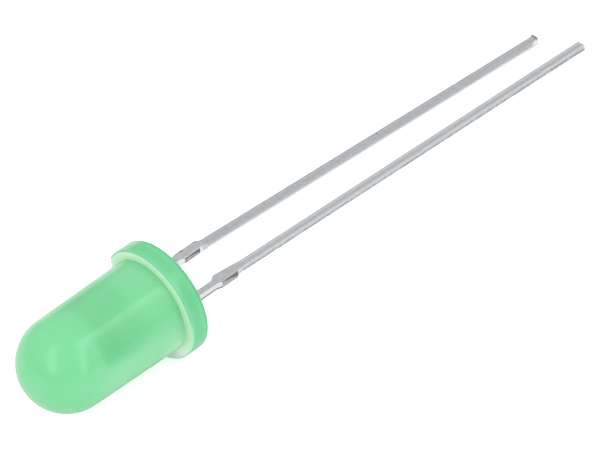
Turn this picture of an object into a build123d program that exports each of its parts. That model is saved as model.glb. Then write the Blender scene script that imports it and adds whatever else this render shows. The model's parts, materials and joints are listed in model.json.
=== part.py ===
from build123d import *
from math import cos, radians, sin, tan
import os

# A 5 mm round light-emitting diode, lying as it comes to rest: on the back edge of its flange and on
# the tips of its two leads. Its own frame is the seat plane, the back face of the flange: x runs from
# the cathode to the anode, y is the upper side as it lies, and z runs along the axis to the dome.

# Epoxy lens, cast round the lead frame
barrel_radius = 2.5
draft_angle = 0.75
lens_height = 8.85
flange_radius = 3.0
flange_thickness = 1.0
flat_distance = 2.55
rim_round = 0.08
root_round = 0.12
creep_height = 0.28
creep_clearance = 0.01

# Lead frame, stamped from one strip and parted at the tie bar
lead_pitch = 2.54
strip_thickness = 0.37
lead_width = 0.44
neck_width = 0.37
neck_offset = 0.04
edge_round = 0.05
anode_length = 27.35
cathode_length = 26.2
cathode_lean = 0.34
anode_lean = -0.06
stub_start = 2.3
stub_end = 3.3
stub_slope = 0.3
cathode_stub_extra = 0.2
anode_stub_extra = 0.0
outer_stub = 0.12
cathode_inner_stub = 0.03
anode_inner_stub = 0.14

# Anvil and post, the ends of the leads inside the lens
anvil_base = 1.5
anvil_shoulder = 3.0
anvil_reach = 0.42
post_base = 1.9
post_top = 4.85
post_width = 0.55
post_head_width = 0.68
post_head_height = 0.75

# Reflector cup coined on the anvil, with the chip in it
cup_top = 4.95
cup_radius = 0.6
cup_height = 0.75
cup_neck = 0.45
recess_depth = 0.45
recess_top_radius = 0.47
recess_floor_radius = 0.28
glue_radius = 0.22
glue_thickness = 0.03
chip_side = 0.28
chip_height = 0.24

# Bond wire from the chip to the post
wire_radius = 0.015
loop_height = 0.5
loop_radius = 0.2
bond_radius = 0.04
bond_height = 0.02

# How it lies
lie_angle = 3.6

lie = radians(lie_angle)
draft = radians(draft_angle)

# The rounded back edge of the flange touches the ground right under the seat, which gives the height
# of the seat. Each lead is bent down at its tie bar until its tip touches the ground too.
seat_height = (flange_radius - rim_round) * cos(lie) - rim_round * sin(lie) + rim_round


def lead_drop(length):
    return (seat_height - length * sin(lie)) / cos(lie) - strip_thickness / 2


# The dome is the ball that touches the drafted barrel and the top of the lens
barrel_length = lens_height - flange_thickness
dome_radius = (barrel_radius - barrel_length * tan(draft)) * cos(draft) / (1 - sin(draft))
dome_centre = lens_height - dome_radius
dome_edge = (dome_radius * cos(draft), dome_centre + dome_radius * sin(draft))

# The origin is on the ground, under the middle of the box that holds the part
dome_end = -dome_centre * cos(lie) - dome_radius
tip_end = anode_length * cos(lie) + (strip_thickness / 2 - lead_drop(anode_length)) * sin(lie)
seat_x = -(dome_end + tip_end) / 2
seat_y = (flange_radius - flat_distance) / 2

seat = Plane(
    origin=(seat_x, seat_y, seat_height),
    x_dir=(0, -1, 0),
    z_dir=(-cos(lie), 0, sin(lie)),
)
lens_axis = Axis(seat.origin, seat.z_dir)
# Looking down on both leads, with the dome up the sketch
lead_plane = Plane(origin=seat.origin, x_dir=seat.x_dir, z_dir=-seat.y_dir)
# Looking along the tie bar, with the upper side to the right and the dome up the sketch
side_plane = Plane(origin=seat.origin, x_dir=seat.y_dir, z_dir=seat.x_dir)

cathode_x = -lead_pitch / 2
anode_x = lead_pitch / 2
half_width = lead_width / 2


def neck_edge(lead_x, side, height):
    """Point on one edge of the neck, which stands a little outside the middle of the leg."""
    outward = 1 if lead_x > 0 else -1
    return (lead_x + outward * neck_offset + side * neck_width / 2, height)


def leg_outline(lead_x, length, lean, inner_stub, outer_extra):
    """One lead from the seat down: its neck, the stubs of the tie bar and its leg to the tip."""
    inward = -1 if lead_x > 0 else 1
    outer_start = stub_start - outer_extra
    outer_end = stub_end + outer_extra

    def edge(side, distance, out=0.0):
        shift = lean * max(0, distance - stub_end) / (length - stub_end)
        return (lead_x + shift + side * (half_width + out), -distance)

    # The strip widens from the neck to the tie bar by a slope. The inner stub was sheared askew, so
    # that it runs out along the lead, and the outer one was sheared straight, a little longer on the
    # cathode than on the anode.
    Polygon(
        neck_edge(lead_x, inward, 0),
        neck_edge(lead_x, inward, -(stub_start - stub_slope)),
        edge(inward, stub_start, inner_stub),
        edge(inward, stub_end + stub_slope),
        edge(inward, length),
        edge(-inward, length),
        edge(-inward, outer_end + stub_slope / 2),
        edge(-inward, outer_end, outer_stub),
        edge(-inward, outer_start, outer_stub),
        neck_edge(lead_x, -inward, -(outer_start - stub_slope)),
        neck_edge(lead_x, -inward, 0),
        align=None,
    )


def strip_side(length, top):
    """Strip seen from its edge: straight as far as the tie bar, then bent down to the ground."""
    half = strip_thickness / 2
    drop = lead_drop(length)
    Polygon(
        (-half, top), (-half, -stub_end), (-half - drop, -length),
        (half - drop, -length), (half, -stub_end), (half, top),
        align=None,
    )


strip_reach = 2 * lead_pitch

# Cathode: leg, broad anvil and reflector cup
cup_floor = cup_top - recess_depth
cup_base = cup_top - cup_height

with BuildPart() as cathode_lead:
    with BuildSketch(lead_plane):
        leg_outline(cathode_x, cathode_length, cathode_lean, cathode_inner_stub, cathode_stub_extra)
        Polygon(
            neck_edge(cathode_x, -1, 0),
            neck_edge(cathode_x, -1, anvil_shoulder),
            (-cup_neck, cup_base),
            (cup_neck, cup_base),
            (anvil_reach, anvil_shoulder - neck_width),
            neck_edge(cathode_x, 1, anvil_base),
            neck_edge(cathode_x, 1, 0),
            align=None,
        )
    extrude(amount=strip_reach, both=True)
    with BuildSketch(side_plane):
        strip_side(cathode_length, cup_base)
    extrude(amount=strip_reach, both=True, mode=Mode.INTERSECT)
    leg_edges = cathode_lead.edges().filter_by(lambda edge: edge.length > cathode_length / 2)
    fillet(leg_edges, edge_round)
    with BuildSketch(lead_plane):
        Polygon(
            (0, cup_base - cup_neck),
            (strip_thickness / 2, cup_base - cup_neck),
            (cup_radius, cup_base),
            (cup_radius, cup_top),
            (recess_top_radius, cup_top),
            (recess_floor_radius, cup_floor),
            (0, cup_floor),
            align=None,
        )
    revolve(axis=lens_axis)

# Anode: leg and post with a head for the wire
post_edge = neck_edge(anode_x, 1, post_top)[0]

with BuildPart() as anode_lead:
    with BuildSketch(lead_plane):
        leg_outline(anode_x, anode_length, anode_lean, anode_inner_stub, anode_stub_extra)
        Polygon(
            neck_edge(anode_x, 1, 0),
            (post_edge, post_top),
            (post_edge - post_head_width, post_top),
            (post_edge - post_head_width, post_top - post_head_height),
            (post_edge - post_width, post_base + post_width),
            neck_edge(anode_x, -1, post_base),
            neck_edge(anode_x, -1, 0),
            align=None,
        )
    extrude(amount=strip_reach, both=True)
    with BuildSketch(side_plane):
        strip_side(anode_length, post_top)
    extrude(amount=strip_reach, both=True, mode=Mode.INTERSECT)
    leg_edges = anode_lead.edges().filter_by(lambda edge: edge.length > anode_length / 2)
    fillet(leg_edges, edge_round)

# Silver glue on the floor of the cup, and the chip on it
glue_plane = seat.offset(cup_floor)
chip_plane = seat.offset(cup_floor + glue_thickness)
chip_top = cup_floor + glue_thickness + chip_height

with BuildPart() as die_attach:
    with BuildSketch(glue_plane):
        Circle(glue_radius)
    extrude(amount=glue_thickness)

with BuildPart() as led_chip:
    with BuildSketch(chip_plane):
        Rectangle(chip_side, chip_side)
    extrude(amount=chip_height)

# Gold wire: it rises from its ball on the chip and runs down to its stitch on the post
post_x = post_edge - post_head_width / 2
wire_start = (0, chip_top + bond_height / 2)
wire_end = (post_x, post_top + wire_radius)

with BuildPart() as bond_wire:
    with BuildLine(lead_plane) as loop:
        FilletPolyline(
            wire_start, (0, chip_top + loop_height), wire_end,
            radius=loop_radius,
        )
    with BuildSketch(Plane(origin=loop.wire() @ 0, z_dir=loop.wire() % 0)):
        Circle(wire_radius)
    sweep(path=loop.wire())
    with BuildSketch(seat.offset(chip_top)):
        Circle(bond_radius)
    extrude(amount=bond_height)
    with BuildSketch(seat.offset(post_top)):
        with Locations((post_x, 0)):
            Circle(bond_radius)
    extrude(amount=bond_height)

# Lens: drafted barrel and dome on a flange with a flat, cast round all that is in it. On its open
# side the resin creeps a little way down each lead.
neck_corner = (neck_width**2 + strip_thickness**2) ** 0.5 / 2 + creep_clearance

with BuildPart() as epoxy_lens:
    with BuildSketch(lead_plane):
        with BuildLine():
            FilletPolyline(
                (0, 0),
                (flange_radius, 0),
                (flange_radius, flange_thickness),
                (barrel_radius, flange_thickness),
                dome_edge,
                radius=(rim_round, rim_round, root_round),
            )
            RadiusArc(dome_edge, (0, lens_height), -dome_radius)
            Line((0, lens_height), (0, 0))
        make_face()
    revolve(axis=lens_axis)
    with BuildSketch(seat):
        with Locations((-flat_distance, 0)):
            Rectangle(flange_radius, 2 * flange_radius, align=(Align.MAX, Align.CENTER))
    extrude(amount=flange_thickness, mode=Mode.SUBTRACT)
    for neck_x in (cathode_x - neck_offset, anode_x + neck_offset):
        with BuildSketch(lead_plane):
            with BuildLine():
                Polyline(
                    (neck_x + neck_corner, -creep_height),
                    (neck_x, -creep_height),
                    (neck_x, 0),
                    (neck_x + neck_corner + creep_height, 0),
                )
                TangentArc(
                    (neck_x + neck_corner + creep_height, 0),
                    (neck_x + neck_corner, -creep_height),
                    tangent=(-1, 0),
                )
            make_face()
        revolve(axis=Axis(lead_plane.from_local_coords((neck_x, 0, 0)), seat.z_dir))
    for held in (cathode_lead, anode_lead, die_attach, led_chip, bond_wire):
        add(held.part, mode=Mode.SUBTRACT)

# Finished pieces
epoxy_lens.part.label = "epoxy_lens"
cathode_lead.part.label = "cathode_lead"
anode_lead.part.label = "anode_lead"
led_chip.part.label = "led_chip"
die_attach.part.label = "die_attach"
bond_wire.part.label = "bond_wire"

os.makedirs("parts", exist_ok=True)
export_step(epoxy_lens.part, "parts/epoxy_lens.step")
export_step(cathode_lead.part, "parts/cathode_lead.step")
export_step(anode_lead.part, "parts/anode_lead.step")
export_step(led_chip.part, "parts/led_chip.step")
export_step(die_attach.part, "parts/die_attach.step")
export_step(bond_wire.part, "parts/bond_wire.step")
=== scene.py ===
# %% [markdown]
# # A round green LED, lying on a white table
#
# A through hole light-emitting diode is a drop of epoxy cast round the end of a stamped lead frame. The
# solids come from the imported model, with every size already right. This lesson gives them their looks:
# a lens with a true ball dome that takes a clean reflection, leads with the soft edges that hot tin
# leaves, and a white table in a plain room with windows.

# %% Load the fixed frame
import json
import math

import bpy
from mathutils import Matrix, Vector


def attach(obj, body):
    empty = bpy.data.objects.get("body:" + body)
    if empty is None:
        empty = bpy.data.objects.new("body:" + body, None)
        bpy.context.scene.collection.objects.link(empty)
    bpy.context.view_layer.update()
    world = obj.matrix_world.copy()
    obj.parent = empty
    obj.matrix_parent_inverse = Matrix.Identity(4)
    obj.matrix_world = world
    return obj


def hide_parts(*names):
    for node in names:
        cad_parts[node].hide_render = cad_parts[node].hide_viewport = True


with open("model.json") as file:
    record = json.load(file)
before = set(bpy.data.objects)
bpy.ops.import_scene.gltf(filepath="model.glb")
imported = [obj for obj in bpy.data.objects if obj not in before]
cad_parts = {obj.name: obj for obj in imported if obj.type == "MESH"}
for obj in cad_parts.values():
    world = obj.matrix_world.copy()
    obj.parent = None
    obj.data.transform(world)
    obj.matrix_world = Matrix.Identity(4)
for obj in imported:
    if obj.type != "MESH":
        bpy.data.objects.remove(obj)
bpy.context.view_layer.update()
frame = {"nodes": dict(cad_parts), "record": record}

# %% [markdown]
# ## Units, and where the LED lies
#
# Blender works in metres, and the LED is a few millimetres across, so sizes are written in millimetres
# and multiplied by `MM`. The record's seating face gives the middle of the flange's back and the
# direction in which the leads leave it. From these comes the seat: a frame of its own, with z up the
# axis of the lens, x from the cathode to the anode and y on the upper side as the LED lies. Each piece
# can then be modelled upright, as it would be drawn, and laid down at the end.

MM = 0.001
mounts = {mount["name"]: mount for mount in frame["record"]["mounts"]}
seat_point = Vector(mounts["seating_face"]["pos_m"])
dome_way = -Vector(mounts["seating_face"]["axis"])
anode_way = Vector((0, -1, 0))
upper_way = dome_way.cross(anode_way)

seat = Matrix((anode_way, upper_way, dome_way)).transposed().to_4x4()
seat.translation = seat_point
into_seat = seat.inverted()
print("the seat is", [round(c / MM, 2) for c in seat_point], "mm from the origin")

# %% [markdown]
# ## Helpers for edit mode
#
# Operators act on whatever is selected, and the loaded nodes start selected, so every new piece begins
# with nothing selected. In edit mode, edges and faces are picked in code by where their middle is.

# %% Selecting pieces, edges and faces
def select_only(*pieces):
    """Selects these objects and nothing else, with the first one active."""
    bpy.ops.object.select_all(action="DESELECT")
    for piece in pieces:
        piece.select_set(True)
    bpy.context.view_layer.objects.active = pieces[0]


def pick(piece, kind, test):
    """In edit mode, selects the edges or faces of a piece whose middle passes a test, in millimetres."""
    bpy.ops.mesh.select_mode(type=kind)
    bpy.ops.mesh.select_all(action="DESELECT")
    bpy.ops.object.mode_set(mode="OBJECT")
    mesh = piece.data
    parts = mesh.edges if kind == "EDGE" else mesh.polygons
    for part in parts:
        corners = [mesh.vertices[i].co / MM for i in part.vertices]
        part.select = test(*(sum(corners, Vector()) / len(corners)))
    bpy.ops.object.mode_set(mode="EDIT")


# %% [markdown]
# ## Helpers for finished pieces
#
# A modifier is applied as soon as it is set, so that the finished mesh is what counts. `lay_down` turns a
# piece from its upright position into the seat and puts that turn into its mesh, so that its object stays
# at the origin. Two thresholds serve throughout: points nearer than `weld` are one point, and a cut that
# passes within `cut_snap` of a point goes through it.

# %% Finishing a piece
weld = 0.0005 * MM
cut_snap = 0.001 * MM
soft_angle = math.radians(35)


def apply_modifier(piece, kind, **settings):
    """Adds a modifier with these settings to a piece and applies it at once."""
    modifier = piece.modifiers.new(kind.title(), kind)
    for name, value in settings.items():
        setattr(modifier, name, value)
    select_only(piece)
    bpy.ops.object.modifier_apply(modifier=modifier.name)


def soften(piece):
    """Shades a piece smooth over its soft edges, and keeps its large flat faces flat to the eye."""
    select_only(piece)
    bpy.ops.object.shade_smooth_by_angle(angle=soft_angle)
    apply_modifier(piece, "WEIGHTED_NORMAL", keep_sharp=True)


def lay_down(piece):
    """Turns a piece that was modelled upright into the seat."""
    piece.matrix_world = seat @ piece.matrix_world
    select_only(piece)
    bpy.ops.object.transform_apply(location=True, rotation=True, scale=True)


def tell(piece):
    """Prints how many faces a piece has and how large it is."""
    print(piece.name, len(piece.data.polygons), "faces", [round(c / MM, 2) for c in piece.dimensions], "mm")


# %% [markdown]
# ## The lens
#
# The body is cast in a mould: a barrel with a little draft, closed by a ball that touches it smoothly,
# on a flange with a flat that marks the cathode. A ball is the right start, because the reflection in
# the dome shows every facet of a poor one. Its lower half is cut off where the barrel begins, and the
# open edge is drawn down the barrel, out over the flange and round to the seat.

# %% Sizes of the lens, in millimetres
barrel_radius = 2.5
draft = math.radians(0.75)
lens_height = 8.85
flange_radius = 3.0
flange_thickness = 1.0
flat_distance = 2.55
rim_round = 0.08
root_round = 0.12

barrel_length = lens_height - flange_thickness
dome_radius = (barrel_radius - barrel_length * math.tan(draft)) * math.cos(draft) / (1 - math.sin(draft))
dome_centre = lens_height - dome_radius
dome_edge = dome_centre + dome_radius * math.sin(draft)
dome_edge_radius = dome_radius * math.cos(draft)
print("the dome is a ball of radius", round(dome_radius, 3), "mm, from", round(dome_edge, 3), "mm up")

# %% Dome
facets = 144
bpy.ops.object.select_all(action="DESELECT")
bpy.ops.mesh.primitive_uv_sphere_add(
    segments=facets, ring_count=facets // 2, radius=dome_radius * MM, location=(0, 0, dome_centre * MM)
)
lens = bpy.context.object
lens.name = lens.data.name = "lens_casting"
bpy.ops.object.transform_apply(location=True)
bpy.ops.object.mode_set(mode="EDIT")
bpy.ops.mesh.select_all(action="SELECT")
bpy.ops.mesh.bisect(
    plane_co=(0, 0, dome_edge * MM), plane_no=(0, 0, 1), clear_inner=True, threshold=cut_snap
)
print("the dome is cut off with an edge of radius", round(dome_edge_radius, 3), "mm")


# %% [markdown]
# The cut leaves the open edge of the ball selected. Extruding that edge and resizing it about the axis
# draws any round form, ring by ring, as on a lathe.

# %% Barrel
def draw_edge(down, widen):
    """Extrudes the selected open edge down by some millimetres and widens it by a factor."""
    bpy.ops.mesh.extrude_region_move(TRANSFORM_OT_translate={"value": (0, 0, -down * MM)})
    bpy.ops.transform.resize(value=(widen, widen, 1), center_override=(0, 0, 0))


barrel_rings = 12
ring_step = (dome_edge - flange_thickness) / barrel_rings
radius = dome_edge_radius
for ring in range(barrel_rings):
    wider = radius + ring_step * math.tan(draft)
    draw_edge(ring_step, wider / radius)
    radius = wider
print("the barrel ends with a radius of", round(radius, 3), "mm")

# %% [markdown]
# The flange is drawn from the same edge: straight out, down by its thickness, and back in over the seat.
# One ring is left on the seat before a face closes its middle. Then doubles are merged, and the faces are
# turned outwards.

# %% Flange and seat
seat_ring = 0.7
draw_edge(0, flange_radius / radius)
draw_edge(flange_thickness, 1)
draw_edge(0, seat_ring)
bpy.ops.mesh.edge_face_add()
bpy.ops.mesh.select_all(action="SELECT")
bpy.ops.mesh.remove_doubles(threshold=weld)
bpy.ops.mesh.normals_make_consistent(inside=False)
print("the flange reaches", round(flange_radius - radius, 3), "mm past the barrel")

# %% [markdown]
# A mould has no sharp creases, so the root of the barrel and both rims of the flange are bevelled. Their
# edges are found by the circles they lie on, and a middle within `close` of a circle counts as on it. The
# flat comes last: a straight cut takes away all that is beyond it and fills itself with a face.

# %% Rounds of the mould, and the flat
close = 0.02


def on_circle(radius, height):
    """A test for edges that lie along a circle round the axis."""
    return lambda x, y, z: abs(math.hypot(x, y) - radius) < close and abs(z - height) < close


pick(lens, "EDGE", on_circle(barrel_radius, flange_thickness))
bpy.ops.mesh.bevel(offset=root_round * MM, segments=6, affect="EDGES")
for height in (0, flange_thickness):
    pick(lens, "EDGE", on_circle(flange_radius, height))
    bpy.ops.mesh.bevel(offset=rim_round * MM, segments=5, affect="EDGES")
bpy.ops.mesh.select_all(action="SELECT")
bpy.ops.mesh.bisect(
    plane_co=(-flat_distance * MM, 0, 0), plane_no=(-1, 0, 0), clear_outer=True, use_fill=True,
    threshold=cut_snap,
)
bpy.ops.object.mode_set(mode="OBJECT")
tell(lens)

# %% [markdown]
# ## Where the leads leave the lens
#
# While it cures, the resin creeps a little way down each neck and leaves a small meniscus. Each is a
# ring drawn along a quarter circle, sunk a little into the flange and joined to it by a Boolean.

# %% Menisci
lead_pitch = 2.54
neck_offset = 0.04
neck_corner = 0.272
creep_height = 0.28
creep_steps = 6
ring_corners = 48
sunk = 0.05


def meniscus_ring(neck_x):
    """The resin round one neck: an open ring drawn down a quarter circle, then closed at both ends."""
    bpy.ops.object.select_all(action="DESELECT")
    widest = neck_corner + creep_height
    bpy.ops.mesh.primitive_circle_add(vertices=ring_corners, radius=widest * MM, location=(0, 0, sunk * MM))
    ring = bpy.context.object
    bpy.ops.object.transform_apply(location=True)
    bpy.ops.object.mode_set(mode="EDIT")
    bpy.ops.mesh.select_all(action="SELECT")
    draw_edge(sunk, 1)
    radius, depth = widest, 0.0
    for step in range(1, creep_steps + 1):
        turn = step / creep_steps * math.pi / 2
        narrower = widest - creep_height * math.sin(turn)
        deeper = creep_height * (1 - math.cos(turn))
        draw_edge(deeper - depth, narrower / radius)
        radius, depth = narrower, deeper
    bpy.ops.mesh.edge_face_add()
    pick(ring, "EDGE", lambda x, y, z: z > sunk - close)
    bpy.ops.mesh.edge_face_add()
    bpy.ops.mesh.select_all(action="SELECT")
    bpy.ops.mesh.normals_make_consistent(inside=False)
    bpy.ops.transform.translate(value=(neck_x * MM, 0, 0))
    bpy.ops.object.mode_set(mode="OBJECT")
    return ring


for side in (-1, 1):
    meniscus = meniscus_ring(side * (lead_pitch / 2 + neck_offset))
    apply_modifier(lens, "BOOLEAN", object=meniscus, operation="UNION", solver="EXACT")
    bpy.data.objects.remove(meniscus)

lay_down(lens)
tell(lens)


# %% [markdown]
# ## What is cast in
#
# The resin was poured round the lead frame, so the lens has true hollows for both leads, the chip and its
# glue. Each is cut by a Boolean with a copy of the CAD solid, joined up from its loose triangles. The wire
# is thinner than a hair, and needs none. Light that wanders through the resin dies in the hollows, so the
# lead frame shows as a soft shade.

# %% Hollows of what is cast in
flat_angle = math.radians(1)


def merged_copy(node, name):
    """A copy of a CAD node with its loose triangles joined up and its flat faces made whole."""
    copy = frame["nodes"][node].copy()
    copy.data = frame["nodes"][node].data.copy()
    copy.name = copy.data.name = name
    copy.parent = None
    # Custom properties mark a CAD node, and the copy is a new piece.
    for key in list(copy.keys()):
        del copy[key]
    bpy.context.collection.objects.link(copy)
    select_only(copy)
    bpy.ops.object.mode_set(mode="EDIT")
    bpy.ops.mesh.select_all(action="SELECT")
    bpy.ops.mesh.remove_doubles(threshold=weld)
    bpy.ops.mesh.dissolve_limited(angle_limit=flat_angle)
    bpy.ops.object.mode_set(mode="OBJECT")
    return copy


for node in ("cathode_lead", "anode_lead", "led_chip", "die_attach"):
    cutter = merged_copy(node, "cutter")
    apply_modifier(lens, "BOOLEAN", object=cutter, operation="DIFFERENCE", solver="EXACT")
    bpy.data.objects.remove(cutter)

soften(lens)
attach(lens, "root")
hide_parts("epoxy_lens")
tell(lens)

# %% [markdown]
# ## The leads
#
# Both leads are stamped from one strip of steel. The CAD leads have the true outline, so a joined-up copy
# of each is taken. The cutter that trimmed the legs left a thin burr standing on the cathode's end, and
# bent the corner of the anode's over. The last bit of each leg is parted off by a cut across it, so that
# pulling or bevelling one edge of the end moves that bit alone.

# %% Trimmed ends
strip_thickness = 0.37
burr_length = 0.12
burr_pull = Vector((0.04, 0.02, 0.07))
bent_corner = 0.07
lead_tips = {
    "cathode_lead": Vector(mounts["cathode_tip"]["pos_m"]),
    "anode_lead": Vector(mounts["anode_tip"]["pos_m"]),
}


def on_cut_end(node):
    """A test for the edges along the upper side of a lead's cut end, as it lies."""
    tip = into_seat @ lead_tips[node] / MM

    def test(x, y, z):
        spot = into_seat @ (Vector((x, y, z)) * MM) / MM
        return abs(spot.z - tip.z) < close and spot.y - tip.y > strip_thickness / 2 - close

    return test


def trim(lead, node):
    """Parts off the last bit of a lead, and pulls or rounds the upper edge of its cut end."""
    parting = lead_tips[node] + dome_way * burr_length * MM
    select_only(lead)
    bpy.ops.object.mode_set(mode="EDIT")
    bpy.ops.mesh.select_all(action="SELECT")
    bpy.ops.mesh.bisect(plane_co=parting, plane_no=dome_way, threshold=cut_snap)
    pick(lead, "EDGE", on_cut_end(node))
    if node == "cathode_lead":
        bpy.ops.transform.translate(value=burr_pull * MM)
    else:
        bpy.ops.mesh.bevel(offset=bent_corner * MM, segments=4, affect="EDGES")
    bpy.ops.object.mode_set(mode="OBJECT")


# %% [markdown]
# The strip was dipped in hot tin, which draws back from corners and rounds them. A Bevel modifier gives
# every sharp corner that small radius.

# %% Tinned leads
tin_round = 0.03
corner_angle = math.radians(40)
leads = {}
for node, name in (("cathode_lead", "cathode_lead_tinned"), ("anode_lead", "anode_lead_tinned")):
    lead = merged_copy(node, name)
    trim(lead, node)
    apply_modifier(
        lead, "BEVEL", width=tin_round * MM, segments=3, limit_method="ANGLE", angle_limit=corner_angle
    )
    soften(lead)
    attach(lead, "root")
    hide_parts(node)
    leads[node] = lead
    tell(lead)

# %% [markdown]
# ## Materials
#
# Colours are picked as sRGB hex values and turned to the linear values that shaders work in. One small
# function adds a node, sets its values and links its inputs. The sockets of the Mix and Math nodes are told
# by number, because their names repeat: on a Mix node 0 is the factor, 2 and 3 are two numbers, 6 and 7 are
# two colours, and output 2 is the mixed colour.

# %% Nodes and colours
def linear(hex_colour):
    """The linear colour of an sRGB hex value such as #85e4a3."""
    channels = [int(hex_colour[i:i + 2], 16) / 255 for i in (1, 3, 5)]
    curved = [c / 12.92 if c <= 0.04045 else ((c + 0.055) / 1.055) ** 2.4 for c in channels]
    return (*curved, 1.0)


def add_node(tree, kind, values=None, links=None, **settings):
    """Adds a node, sets its properties and input values, and links its inputs to other outputs."""
    node = tree.nodes.new(kind)
    for name, value in settings.items():
        setattr(node, name, value)
    for socket, value in (values or {}).items():
        node.inputs[socket].default_value = value
    for socket, source in (links or {}).items():
        tree.links.new(source, node.inputs[socket])
    return node


def new_material(name):
    """An empty node material, with its tree and the output node."""
    material = bpy.data.materials.new(name)
    material.use_nodes = True
    tree = material.node_tree
    tree.nodes.clear()
    return material, tree, tree.nodes.new("ShaderNodeOutputMaterial")


def give(piece, material):
    """Makes this the only material of a piece."""
    piece.data.materials.clear()
    piece.data.materials.append(material)
    print(piece.name, "is", material.name, "with", len(material.node_tree.nodes), "nodes")


# %% [markdown]
# Every pattern reads Object coordinates through one Mapping node that undoes the seat, so patterns and
# places are told in millimetres along and across the LED. A finish is built up like coats of paint: each
# coat is two tones mingled by a pattern, and a zone says where it lies. A zone is a soft mask, made of
# limits that all have to hold, such as a height that starts to count at one place and counts in full at
# the next.

# %% Places, zones and paint
def seat_millimetres(tree):
    """Object coordinates in the seat's own frame, in millimetres."""
    place = add_node(tree, "ShaderNodeTexCoord")
    turned = add_node(
        tree, "ShaderNodeMapping",
        {"Location": seat_point, "Rotation": seat.to_euler(), "Scale": (MM, MM, MM)},
        {"Vector": place.outputs["Object"]}, vector_type="TEXTURE",
    )
    return turned.outputs["Vector"]


def zone(tree, *limits):
    """A soft mask, 1 where all limits hold. Each is a mask, or a value with its start and its full mark."""
    mask = None
    for limit in limits:
        if isinstance(limit, tuple):
            value, start, full = limit
            step = add_node(
                tree, "ShaderNodeMapRange", {"From Min": start, "From Max": full}, {"Value": value},
                interpolation_type="SMOOTHSTEP",
            )
            limit = step.outputs["Result"]
        if mask is None:
            mask = limit
        else:
            both = add_node(tree, "ShaderNodeMath", links={0: mask, 1: limit}, operation="MULTIPLY")
            mask = both.outputs[0]
    return mask


def painted(tree, tones, pattern, under=None, where=None):
    """Two hex tones mingled by a pattern, laid over another colour where a mask says."""
    values = {6: linear(tones[0]), 7: linear(tones[1])}
    paint = add_node(tree, "ShaderNodeMix", values, {0: pattern}, data_type="RGBA").outputs[2]
    if under is None:
        return paint
    coated = add_node(tree, "ShaderNodeMix", links={0: where, 6: under, 7: paint}, data_type="RGBA")
    return coated.outputs[2]


# %% [markdown]
# ### Diffused green epoxy
#
# The resin is tinted green and made milky with a fine filler, so light goes in and wanders a few
# millimetres before it leaves. Subsurface scattering with the Random Walk method does just that, and the
# hollows of the lead frame swallow part of it. The filler is not quite even, and clouds the tint a little.

# %% Tint of the resin
epoxy, tree, output = new_material("diffused_green_epoxy_cast")
here = seat_millimetres(tree)
spot = add_node(tree, "ShaderNodeSeparateXYZ", links={0: here})
upward = spot.outputs["Y"]
height = spot.outputs["Z"]
cloud_size = 1.82
clouds = add_node(tree, "ShaderNodeTexNoise", {"Scale": 1 / cloud_size, "Detail": 3.0}, {"Vector": here})
cloud = clouds.outputs["Fac"]
tint_and_painted_light = painted(tree, ("#7ed29b", "#83d6a0"), cloud)

# %% [markdown]
# Light from the table comes through the lower side of the barrel and is strongest at its root, so the
# flanks and the root are paler. Behind the middle of the barrel stand the anvil and the post, which shade
# the resin above them, most where their edges come near the surface.

# %% Flanks, root and the shade of the lead frame
# Painted light and shade: the flanks and the root are painted paler, and the resin over the lead frame
# darker.
flank_level = -0.5
from_flank = add_node(tree, "ShaderNodeMath", {1: flank_level}, {0: upward}, operation="SUBTRACT").outputs[0]
from_flank = add_node(tree, "ShaderNodeMath", links={0: from_flank}, operation="ABSOLUTE").outputs[0]
flanks = zone(tree, (from_flank, 1.3, 0.5), (height, 7.2, 5.4))
tint_and_painted_light = painted(tree, ("#8dd8a5", "#91dba9"), cloud, tint_and_painted_light, flanks)

root = zone(tree, (height, 2.8, 1.7), (upward, 0.2, -1.2))
tint_and_painted_light = painted(tree, ("#a8e6b5", "#b0eabc"), cloud, tint_and_painted_light, root)

over_frame = zone(tree, (height, 2.2, 3.8), (height, 6.0, 5.1), (upward, 0.3, 1.0))
tint_and_painted_light = painted(tree, ("#76cb93", "#7ace97"), cloud, tint_and_painted_light, over_frame)

from_middle = add_node(tree, "ShaderNodeMath", links={0: spot.outputs["X"]}, operation="ABSOLUTE").outputs[0]
over_edges = zone(
    tree, (height, 3.8, 5.0), (height, 6.1, 5.5), (from_middle, 0.9, 1.9), (upward, 0.5, 0.9)
)
tint_and_painted_light = painted(tree, ("#71c78f", "#74ca92"), cloud, tint_and_painted_light, over_edges)

# %% [markdown]
# Light has the shortest way through the thin brim of the flange, so less of its red and blue is lost there
# and the brim is the palest part, above all near the table. The wall round it is seen through the whole
# width of the flange and looks deeper green, and its rounded rims, which send the light past the eye, look
# darkest.

# %% Wall, brim and rims of the flange
sideway = add_node(tree, "ShaderNodeCombineXYZ", links={0: spot.outputs["X"], 1: upward}).outputs[0]
off_axis = add_node(tree, "ShaderNodeVectorMath", links={0: sideway}, operation="LENGTH").outputs["Value"]
brim_end = flange_radius - rim_round

# Painted light and shade: the brim is painted paler, palest near the table, and the wall and both rims
# darker.
wall = zone(tree, (height, flange_thickness - 0.01, flange_thickness - 0.07))
tint_and_painted_light = painted(tree, ("#6fc391", "#73c695"), cloud, tint_and_painted_light, wall)

brim = zone(
    tree, (height, flange_thickness - 0.05, flange_thickness - 0.01),
    (off_axis, barrel_radius, barrel_radius + 0.05), (off_axis, brim_end, brim_end - 0.05),
)
tint_and_painted_light = painted(tree, ("#c2e1c7", "#c9e5cd"), cloud, tint_and_painted_light, brim)
tint_and_painted_light = painted(tree, ("#e6fae8", "#eefdf0"), cloud, tint_and_painted_light, zone(tree, brim, (upward, -0.6, -1.9)))

back_rim = zone(tree, (height, 3 * rim_round, rim_round), (off_axis, brim_end - 0.06, brim_end + 0.02))
tint_and_painted_light = painted(tree, ("#5c9c78", "#62a37f"), cloud, tint_and_painted_light, back_rim)

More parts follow.
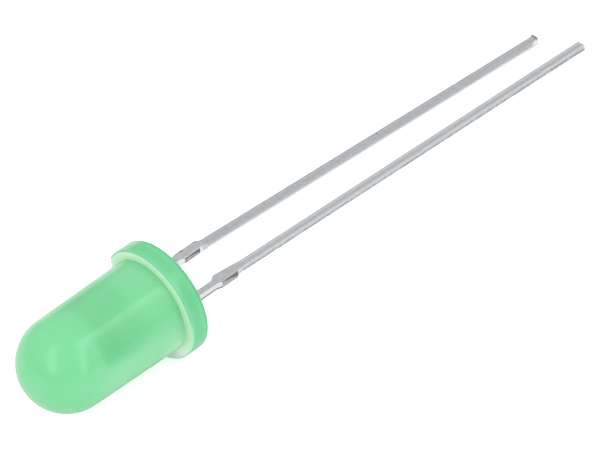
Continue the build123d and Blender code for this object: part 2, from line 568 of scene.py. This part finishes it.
front_rim = zone(
    tree, (height, flange_thickness - 0.1, flange_thickness - 0.03),
    (off_axis, brim_end - 0.04, brim_end + 0.02), (upward, -0.1, 1.0),
)
tint_and_painted_light = painted(tree, ("#74b690", "#7abc96"), cloud, tint_and_painted_light, front_rim)
print("the tint of the resin takes", len(tree.nodes), "nodes")

# %% [markdown]
# The mould was polished, so the surface is glossy, with the typical refractive index of epoxy. A very
# faint ripple, left as the resin shrank, keeps the reflections from looking drawn with a ruler.

# %% Gloss of the resin
ripple_size = 0.625
ripple = add_node(tree, "ShaderNodeTexNoise", {"Scale": 1 / ripple_size, "Detail": 2.0}, {"Vector": here})
skin = add_node(
    tree, "ShaderNodeBump", {"Strength": 0.03, "Distance": 0.02 * MM}, {"Height": ripple.outputs["Fac"]}
)
resin = add_node(
    tree, "ShaderNodeBsdfPrincipled",
    {"Roughness": 0.16, "IOR": 1.52, "Subsurface Weight": 1.0, "Subsurface Radius": (0.6, 1.0, 0.7),
     "Subsurface Scale": 1.6 * MM},
    {"Base Color": tint_and_painted_light, "Normal": skin.outputs["Normal"]},
    subsurface_method="RANDOM_WALK",
)
tree.links.new(resin.outputs["BSDF"], output.inputs["Surface"])
give(lens, epoxy)

# %% [markdown]
# ### Hot-dip tin on steel
#
# Rolled steel strip with a dipped tin coat is a grey, satin metal. Rolling leaves faint lines along the
# strip, and the tin freezes in soft patches about a tenth of a millimetre wide, so roughness and tone vary
# a little.

# %% Tin and its patches
tin, tree, output = new_material("hot_dip_tin_on_rolled_steel")
here = seat_millimetres(tree)
spot = add_node(tree, "ShaderNodeSeparateXYZ", links={0: here})
upward = spot.outputs["Y"]
height = spot.outputs["Z"]

line_width = 0.0455
line_length = 0.714
stretch = (1 / line_width, 1 / line_width, 1 / line_length)
rolled = add_node(tree, "ShaderNodeMapping", {"Scale": stretch}, {"Vector": here}).outputs["Vector"]
rolling = add_node(tree, "ShaderNodeTexNoise", {"Scale": 1.0, "Detail": 4.0}, {"Vector": rolled})
lines = rolling.outputs["Fac"]

patch_size = 0.1111
frozen = add_node(tree, "ShaderNodeTexNoise", {"Scale": 1 / patch_size, "Detail": 2.0}, {"Vector": here})
patches = zone(tree, (frozen.outputs["Fac"], 0.3, 0.7))
# The tin's own tone. Painted highlights and shade are laid over it further down.
tin_and_painted_light = painted(tree, ("#cacdd1", "#dee0e3"), patches)

# %% [markdown]
# The tin is not even across a leg, so a place has to be told from the middle of its own leg. Each leg is
# straight from the tie bar to its tip, and the record's mounts say where the tips are. A Map Range node
# therefore gives the middle of a leg at any height, and the sign of x tells the two legs apart.

# %% Places on the legs
stub_start = 2.3
stub_end = 3.3
on_cathode = zone(tree, (spot.outputs["X"], 0.1, -0.1))
on_anode = zone(tree, (spot.outputs["X"], -0.1, 0.1))


def off_middle(axis):
    """How far a point lies from the middle of its own leg, along one axis of the seat."""
    middles = []
    for side, node in ((-1, "cathode_lead"), (1, "anode_lead")):
        start = Vector((side * lead_pitch / 2, 0, -stub_end))
        tip = into_seat @ lead_tips[node] / MM
        reach = {
            "From Min": start.z, "From Max": tip.z,
            "To Min": getattr(start, axis), "To Max": getattr(tip, axis),
        }
        middles.append(add_node(tree, "ShaderNodeMapRange", reach, {"Value": height}).outputs["Result"])
    nearest = add_node(tree, "ShaderNodeMix", links={0: on_anode, 2: middles[0], 3: middles[1]}).outputs[0]
    own = spot.outputs[axis.upper()]
    return add_node(tree, "ShaderNodeMath", links={0: own, 1: nearest}, operation="SUBTRACT").outputs[0]


across = off_middle("x")
level = off_middle("y")
print("places on the legs take", len(tree.nodes), "nodes so far")

# %% [markdown]
# The upper face of a leg is told from its sides by the way it faces. A painted highlight runs along the far
# edge of the anode's upper face, with a thin line of painted shade outside it, and both legs are painted a
# little darker towards the near edge.

# %% Upper faces of the legs
facing = add_node(tree, "ShaderNodeNewGeometry")
normal = add_node(tree, "ShaderNodeSeparateXYZ", links={0: facing.outputs["Normal"]})
sideways = add_node(tree, "ShaderNodeMath", links={0: normal.outputs["Y"]}, operation="ABSOLUTE").outputs[0]
leg_start = -3.7
on_leg = zone(tree, (height, leg_start, leg_start - 0.2))
on_top = zone(tree, (normal.outputs["Z"], 0.3, 0.7), on_leg)

# Painted highlight along the anode's far edge, painted shade outside it and towards the near edge
far_edge_highlight = zone(tree, (across, 0.06, -0.07), on_top, on_anode)
tin_and_painted_light = painted(tree, ("#dfe2e4", "#eceef0"), patches, tin_and_painted_light, far_edge_highlight)
far_edge_shade = zone(tree, (across, -0.165, -0.2), on_leg, on_anode)
tin_and_painted_light = painted(tree, ("#aeb1b4", "#bcbfc2"), patches, tin_and_painted_light, far_edge_shade)
near_edge_shade = zone(tree, (across, 0.0, 0.1), (across, 0.21, 0.15), on_top)
tin_and_painted_light = painted(tree, ("#c6c9cd", "#d8dadd"), patches, tin_and_painted_light, near_edge_shade)

# %% [markdown]
# Painted shade: the sides of the legs, told by the way they face, get darker tones than the upper faces,
# less dark on the anode. The cathode's corner with the upper face is painted darker still, and the anode's
# corner gets a painted highlight. Painted shade runs along the anode's lower edge, broken up by a noise.

# %% Sides of the legs
# Painted shade on the sides of the legs, less dark on the anode
on_side = zone(tree, (sideways, 0.5, 0.9), on_leg)
tin_and_painted_light = painted(tree, ("#c2c5c8", "#d6d8da"), patches, tin_and_painted_light, zone(tree, on_side, on_anode))
tin_and_painted_light = painted(tree, ("#b8bbbe", "#c6c8cb"), patches, tin_and_painted_light, zone(tree, on_side, on_cathode))
# Painted shade on the cathode's corner, painted highlight on the anode's corner
cathode_corner_shade = zone(tree, (across, 0.14, 0.19), (level, 0.1, 0.15), on_leg, on_cathode)
tin_and_painted_light = painted(tree, ("#bec1c4", "#c8cbcd"), patches, tin_and_painted_light, cathode_corner_shade)
corner_highlight = zone(tree, (across, 0.1, 0.18), (level, 0.04, 0.12), on_leg, on_anode)
tin_and_painted_light = painted(tree, ("#d2d5d7", "#dfe1e3"), patches, tin_and_painted_light, corner_highlight)

# Painted shade along the anode's lower edge, broken up by a noise
patchy_shade_size = 0.1667
patchy_shade_noise = add_node(tree, "ShaderNodeTexNoise", {"Scale": 1 / patchy_shade_size, "Detail": 2.0}, {"Vector": here})
lower_edge_shade = zone(tree, (level, 0.02, -0.07), on_leg, on_anode, (patchy_shade_noise.outputs["Fac"], 0.38, 0.54))
tin_and_painted_light = painted(tree, ("#989b9e", "#acafb2"), patches, tin_and_painted_light, lower_edge_shade)

# %% [markdown]
# The cathode is painted with highlights along its lower edge and on the side of its tip. The burr that the
# cutter pulled up is thin, and dull.

# %% Painted highlights and burr of the cathode
cathode_end = (into_seat @ lead_tips["cathode_lead"]).z / MM
# Painted highlights on the cathode's lower edge and on the side of its tip
highlight_tones = ("#f0f2f3", "#f8f9f9")
lower_edge_highlight = zone(tree, (level, 0.06, -0.13), on_leg, on_cathode)
tin_and_painted_light = painted(tree, highlight_tones, patches, tin_and_painted_light, lower_edge_highlight)
tip_highlight = zone(tree, (height, cathode_end + 0.48, cathode_end + 0.22), on_side, on_cathode)
tin_and_painted_light = painted(tree, highlight_tones, patches, tin_and_painted_light, tip_highlight)
burr = zone(tree, (height, cathode_end + 0.1, cathode_end + 0.04), (level, 0.1, 0.16), on_cathode)
tin_and_painted_light = painted(tree, ("#9c9fa2", "#a8abae"), patches, tin_and_painted_light, burr)

# %% [markdown]
# Where the tie bar was cut off after tinning, the bare steel shows. A dark band runs down from the upper
# face, and the shear tore the rest off, rough and paler, with fine lines across the strip. The cuts are
# found by their height and by the way they face. The border between the two bands slants down along the
# stub, and a noise makes it ragged.

# %% Cut ends of the tie bar
cut = zone(
    tree, (sideways, 0.8, 0.95),
    (height, -stub_end - 0.04, -stub_end), (height, -stub_start + 0.04, -stub_start),
)
tear_length = 0.25
tear_width = 0.0385
tear_stretch = (1 / tear_length, 1 / tear_length, 1 / tear_width)
torn = add_node(tree, "ShaderNodeMapping", {"Scale": tear_stretch}, {"Vector": here}).outputs["Vector"]
tears = add_node(tree, "ShaderNodeTexNoise", {"Scale": 1.0, "Detail": 3.0}, {"Vector": torn}).outputs["Fac"]
tone = painted(tree, ("#aaaaa9", "#d4d3d3"), tears, tin_and_painted_light, cut)

# %% Dark band of the cuts
rag_size = 0.1429
rag_height = 0.24
ragged = add_node(tree, "ShaderNodeTexNoise", {"Scale": 1 / rag_size, "Detail": 3.0}, {"Vector": here})
wander = add_node(
    tree, "ShaderNodeMath", {1: rag_height, 2: -rag_height / 2}, {0: ragged.outputs["Fac"]},
    operation="MULTIPLY_ADD",
).outputs[0]
slant = add_node(
    tree, "ShaderNodeMapRange",
    {"From Min": -stub_start, "From Max": -stub_end, "To Min": 0.14, "To Max": -0.04}, {"Value": height},
).outputs["Result"]
border = add_node(tree, "ShaderNodeMath", links={0: slant, 1: wander}, operation="ADD").outputs[0]
above = add_node(tree, "ShaderNodeMath", links={0: upward, 1: border}, operation="SUBTRACT").outputs[0]
tone = painted(tree, ("#6c7072", "#8e9294"), tears, tone, zone(tree, cut, (above, -0.01, 0.02)))

# %% [markdown]
# The sides of the necks were punched and not sheared, and the punch burnished them: bright as a mirror on
# the cathode, a little worn on the anode. A line of painted shadow runs along the anode's lower edge.

# %% Burnished sides of the necks
not_cut = add_node(tree, "ShaderNodeMath", {0: 1.0}, {1: cut}, operation="SUBTRACT").outputs[0]
punched = zone(tree, (sideways, 0.5, 0.7), (height, -3.5, -3.44), not_cut)
tone = painted(tree, ("#e6e6e5", "#eeeeed"), lines, tone, punched)
tone = painted(tree, ("#fafbfb", "#ffffff"), lines, tone, zone(tree, punched, on_cathode))
# Painted shadow along the anode's lower edge
neck_lower_shadow = zone(tree, punched, on_anode, (upward, -0.06, -0.1))
tone = painted(tree, ("#8c8f90", "#9c9fa0"), lines, tone, neck_lower_shadow)

# %% [markdown]
# Two small black pits in the tin are placed: one on the cathode's stub and one half-way down its
# leg.

# %% Pits
for x, y, z, size in ((-1.543, 0.185, -2.525, 0.07), (-1.13, -0.425, -15.33, 0.05)):
    pit = add_node(tree, "ShaderNodeVectorMath", {1: (x, y, z)}, {0: here}, operation="DISTANCE")
    in_pit = zone(tree, (pit.outputs["Value"], size, size / 2))
    tone = painted(tree, ("#4a4d50", "#5a5d60"), ragged.outputs["Fac"], tone, in_pit)

# %% [markdown]
# Tin that froze from the bath is satin, a little smoother between the lines of the rolling, and the cuts
# are rough. The lines are also felt as a very faint relief.

# %% Gloss of the tin
satin = add_node(tree, "ShaderNodeMapRange", {"To Min": 0.28, "To Max": 0.4}, {"Value": lines})
roughness = add_node(tree, "ShaderNodeMix", {3: 0.6}, {0: cut, 2: satin.outputs["Result"]}).outputs[0]
grain = add_node(tree, "ShaderNodeBump", {"Strength": 0.12, "Distance": 0.004 * MM}, {"Height": lines})
metal = add_node(
    tree, "ShaderNodeBsdfPrincipled", {"Metallic": 1.0},
    {"Base Color": tone, "Roughness": roughness, "Normal": grain.outputs["Normal"]},
)
tree.links.new(metal.outputs["BSDF"], output.inputs["Surface"])
for lead in leads.values():
    give(lead, tin)

# %% [markdown]
# ### Chip, glue and wire
#
# These are sealed in the resin and too small to see, but each keeps its CAD shape and gets its own finish.
# The chip is a sawn crystal of amber semiconductor, with fine saw lines. A Wave texture repeats 20 times
# over a length of two pi, so its scale follows from the spacing of the lines. Real saw lines are finer
# still: these are drawn as coarse as they need to show.

# %% Sawn crystal
crystal, tree, output = new_material("sawn_amber_crystal")
here = seat_millimetres(tree)
saw_spacing = 0.1257
saw_scale = 2 * math.pi / (20 * saw_spacing)
saw = add_node(
    tree, "ShaderNodeTexWave", {"Scale": saw_scale, "Distortion": 0.6}, {"Vector": here}, bands_direction="Z"
).outputs["Fac"]
saw_lines = add_node(tree, "ShaderNodeBump", {"Strength": 0.2, "Distance": 0.001 * MM}, {"Height": saw})
stone = add_node(
    tree, "ShaderNodeBsdfPrincipled", {"Roughness": 0.25, "IOR": 3.2},
    {"Base Color": painted(tree, ("#b0802c", "#c79a45"), saw), "Normal": saw_lines.outputs["Normal"]},
)
tree.links.new(stone.outputs["BSDF"], output.inputs["Surface"])

# %% [markdown]
# The glue is epoxy filled with silver flakes, a dull grey with bright specks. A Voronoi texture divides it
# into cells as large as the flakes, and the middle of each cell is a speck.

# %% Silver glue
glue, tree, output = new_material("silver_filled_epoxy_glue")
here = seat_millimetres(tree)
flake_size = 0.01
flakes = add_node(tree, "ShaderNodeTexVoronoi", {"Scale": 1 / flake_size}, {"Vector": here})
speck = zone(tree, (flakes.outputs["Distance"], 0.5, 0.1))
dull_bright = add_node(tree, "ShaderNodeMapRange", {"To Min": 0.6, "To Max": 0.3}, {"Value": speck})
paste = add_node(
    tree, "ShaderNodeBsdfPrincipled", {"Metallic": 0.7},
    {"Base Color": painted(tree, ("#8f908e", "#d2d4d4"), speck), "Roughness": dull_bright.outputs["Result"]},
)
tree.links.new(paste.outputs["BSDF"], output.inputs["Surface"])

# %% [markdown]
# The wire is drawn gold, smooth and bright. Fine marks of the die it was pulled through make its colour and
# its sheen a little uneven.

# %% Gold wire
gold, tree, output = new_material("drawn_gold")
here = seat_millimetres(tree)
mark_size = 0.0167
marks = add_node(
    tree, "ShaderNodeTexNoise", {"Scale": 1 / mark_size, "Detail": 2.0}, {"Vector": here}
).outputs["Fac"]
sheen = add_node(tree, "ShaderNodeMapRange", {"To Min": 0.15, "To Max": 0.3}, {"Value": marks})
wire = add_node(
    tree, "ShaderNodeBsdfPrincipled", {"Metallic": 1.0},
    {"Base Color": painted(tree, ("#e2b04e", "#f0c468"), marks), "Roughness": sheen.outputs["Result"]},
)
tree.links.new(wire.outputs["BSDF"], output.inputs["Surface"])

# %% [markdown]
# The chip, the glue and the wire stay the CAD pieces, so only the material in their slots is changed.

# %% Crystal, glue and gold on the CAD pieces
for node, material in (("led_chip", crystal), ("die_attach", glue), ("bond_wire", gold)):
    for place in frame["nodes"][node].material_slots:
        place.material = material
    print(node, "is", material.name)

# %% [markdown]
# ## Table
#
# The LED lies on a table with matt white paper on it, 3 m across, so that its edge is out of the picture.
# Light Path tells the rays apart: for the camera the paper glows a little, so that it is white and still
# keeps the soft shadow, and in what the gloss of the lens mirrors it glows very faintly.

# %% Table
table_radius = 1.5
seen_glow = 0.6
mirrored_glow = 0.05
bpy.ops.object.select_all(action="DESELECT")
bpy.ops.mesh.primitive_circle_add(vertices=96, radius=table_radius, fill_type="NGON")
table = bpy.context.object
table.name = table.data.name = "white_table"

paper, tree, output = new_material("matt_white_paper")
path = add_node(tree, "ShaderNodeLightPath")
mirrored = add_node(
    tree, "ShaderNodeMath", links={0: path.outputs["Is Glossy Ray"], 1: path.outputs["Is Transmission Ray"]},
    operation="ADD", use_clamp=True,
).outputs[0]
seen = add_node(
    tree, "ShaderNodeMath", {1: seen_glow}, {0: path.outputs["Is Camera Ray"]}, operation="MULTIPLY"
).outputs[0]
glow = add_node(
    tree, "ShaderNodeMath", {1: mirrored_glow}, {0: mirrored, 2: seen}, operation="MULTIPLY_ADD"
).outputs[0]
matt = add_node(
    tree, "ShaderNodeBsdfPrincipled",
    {"Base Color": (0.85, 0.85, 0.85, 1), "Roughness": 0.9, "Specular IOR Level": 0.0,
     "Emission Color": (1, 1, 1, 1)},
    {"Emission Strength": glow},
)
tree.links.new(matt.outputs["BSDF"], output.inputs["Surface"])
give(table, paper)

# %% [markdown]
# ## Room
#
# The light comes evenly from all round. The camera sees a white horizon, while glossy surfaces see the
# grey walls of a room, which are darker low down. That keeps the edges of the lens from washing out.

# %% Room
world = bpy.data.worlds.new("grey_room")
bpy.context.scene.world = world
world.use_nodes = True
tree = world.node_tree
tree.nodes.clear()
output = add_node(tree, "ShaderNodeOutputWorld")
path = add_node(tree, "ShaderNodeLightPath")
where = add_node(tree, "ShaderNodeTexCoord")
climb = add_node(tree, "ShaderNodeSeparateXYZ", links={0: where.outputs["Generated"]})
walls = add_node(
    tree, "ShaderNodeMapRange", {"From Min": 0.1, "From Max": 0.6, "To Min": 0.42, "To Max": 0.72},
    {"Value": climb.outputs["Z"]}, interpolation_type="SMOOTHSTEP",
)
plain = add_node(tree, "ShaderNodeMix", {2: 0.97, 3: 1.0}, {0: path.outputs["Is Camera Ray"]})
glow = add_node(
    tree, "ShaderNodeMix",
    links={0: path.outputs["Is Glossy Ray"], 2: plain.outputs[0], 3: walls.outputs["Result"]},
)
sky = add_node(tree, "ShaderNodeBackground", {"Color": (1, 1, 1, 1)}, {"Strength": glow.outputs[0]})
tree.links.new(sky.outputs["Background"], output.inputs["Surface"])
print(world.name, "has", len(tree.nodes), "nodes")


# %% [markdown]
# ## Windows
#
# Each window is told by where its two ends stand in the sky, as a photographer would point at them, how
# many degrees wide it is and how bright. Two tall ones give the pale strips on the dome, and a small one
# gives the streak along the barrel. A broad, weak one low down behind the seat lights the resin from there.
# It isn't mirrored. All hang half a metre away.

# %% Windows
def sky_way(azimuth, elevation):
    """The direction at an azimuth, from +Y towards +X, and an elevation, in degrees."""
    turn, lift = math.radians(azimuth), math.radians(elevation)
    return Vector((math.sin(turn) * math.cos(lift), math.cos(turn) * math.cos(lift), math.sin(lift)))


window_distance = 0.5


def window(name, top, bottom, width, radiance):
    """A rectangular lamp aimed at the LED. Its power follows from its size and its brightness."""
    top_way, bottom_way = sky_way(*top), sky_way(*bottom)
    out = (top_way + bottom_way).normalized()
    along = top_way - bottom_way
    along = (along - along.dot(out) * out).normalized()
    light = bpy.data.lights.new(name, "AREA")
    light.shape = "RECTANGLE"
    light.size = 2 * window_distance * math.tan(math.radians(width) / 2)
    light.size_y = 2 * window_distance * math.tan(top_way.angle(bottom_way) / 2)
    light.energy = radiance * math.pi * light.size * light.size_y
    lamp = bpy.data.objects.new(name, light)
    bpy.context.collection.objects.link(lamp)
    turned = Matrix((along.cross(out), along, out)).transposed().to_4x4()
    lamp.matrix_world = Matrix.Translation(out * window_distance) @ turned
    lamp.visible_camera = False
    return lamp


left = window("left_window", top=(-65, 70), bottom=(-108, 19), width=21, radiance=1.3)
right = window("right_window", top=(143, 50), bottom=(186, 8), width=13, radiance=1.4)
streak = window("streak_window", top=(130, 60), bottom=(131, 44), width=8, radiance=1.7)
fill = window("low_fill", top=(175, 24), bottom=(175, 2), width=50, radiance=0.35)
fill.visible_glossy = False
for lamp in (left, right, streak, fill):
    print(lamp.name, "has", round(lamp.data.energy, 3), "W")

# %% [markdown]
# ## Camera
#
# A long lens looks down on the LED from beyond its dome. It stands about 30 cm away and is rolled a little,
# so that the LED lies across the picture from corner to corner. The Standard view shows every colour as it
# is picked here.

# %% Camera
camera_point = Vector((-138.22, -177.26, 207.7)) * MM
view_way = Vector((0.45124, 0.581358, -0.677056))
camera_roll = math.radians(-9.794)
camera_data = bpy.data.cameras.new("camera")
camera_data.lens = 377.54
camera_data.sensor_width = 36
camera_data.clip_start = 0.01
camera = bpy.data.objects.new("camera", camera_data)
bpy.context.collection.objects.link(camera)
upright = view_way.to_track_quat("-Z", "Y")
camera.matrix_world = (
    Matrix.Translation(camera_point) @ upright.to_matrix().to_4x4() @ Matrix.Rotation(camera_roll, 4, "Z")
)
bpy.context.scene.camera = camera
bpy.context.scene.view_settings.view_transform = "Standard"
print("the camera is", round(camera_point.length / MM), "mm from the middle of the LED")
